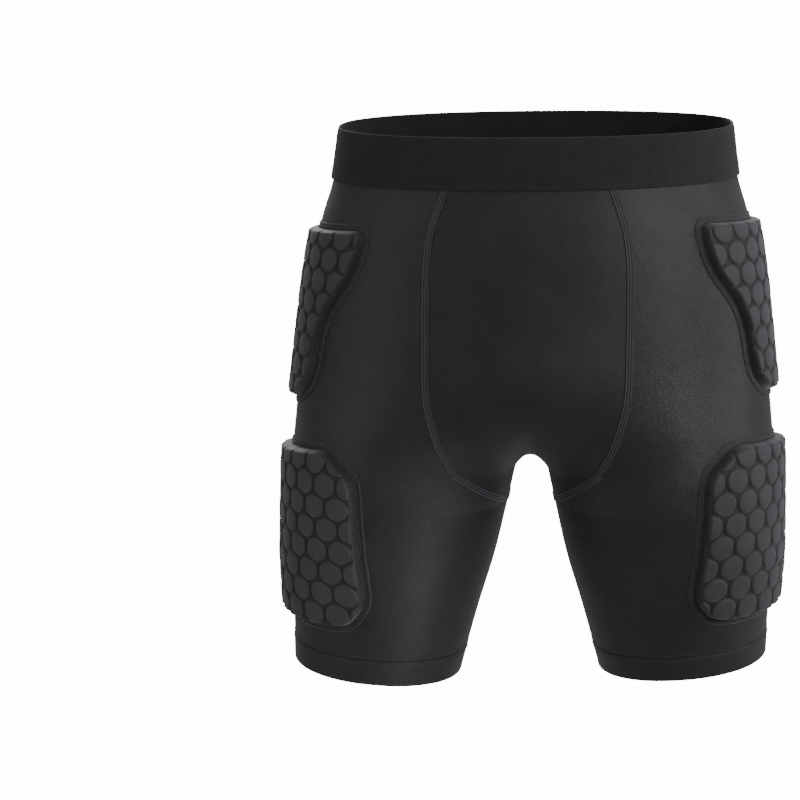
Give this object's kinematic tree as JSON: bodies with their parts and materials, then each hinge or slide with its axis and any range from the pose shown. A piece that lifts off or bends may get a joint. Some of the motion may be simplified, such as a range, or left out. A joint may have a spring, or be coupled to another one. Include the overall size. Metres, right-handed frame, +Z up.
{
  "type": "padded compression shorts with hip pads",
  "caption": "Knee-free compression shorts with an elastic waistband, sewn stretch panels, folded hems and foam-cell pads over the hips, thighs and tailbone.",
  "frame": {"origin": "middle of the waist opening at half the waistband's height, where the wearer's waist holds the shorts", "axes": "+Z up the wearer's body, the wearer faces -Y, +X is the wearer's left"},
  "size_m": [0.4083, 0.2572, 0.4408],
  "materials": {
    "elastic_band": "black woven elastic",
    "stretch_knit": "black stretch knit with a soft sheen",
    "pad_cover": "black knit moulded over foam cells",
    "label_tape": "dark woven tape"
  },
  "bodies": {
    "root": {"waistband": "elastic_band", "front_panel": "stretch_knit", "seat_panel": "stretch_knit", "leg_panel_left": "stretch_knit", "leg_panel_right": "stretch_knit", "leg_hem_left": "stretch_knit", "leg_hem_right": "stretch_knit", "hip_pad_left": "pad_cover", "hip_pad_right": "pad_cover", "thigh_pad_left": "pad_cover", "thigh_pad_right": "pad_cover", "tailbone_pad": "pad_cover", "size_label": "label_tape"}
  },
  "joints": []
}
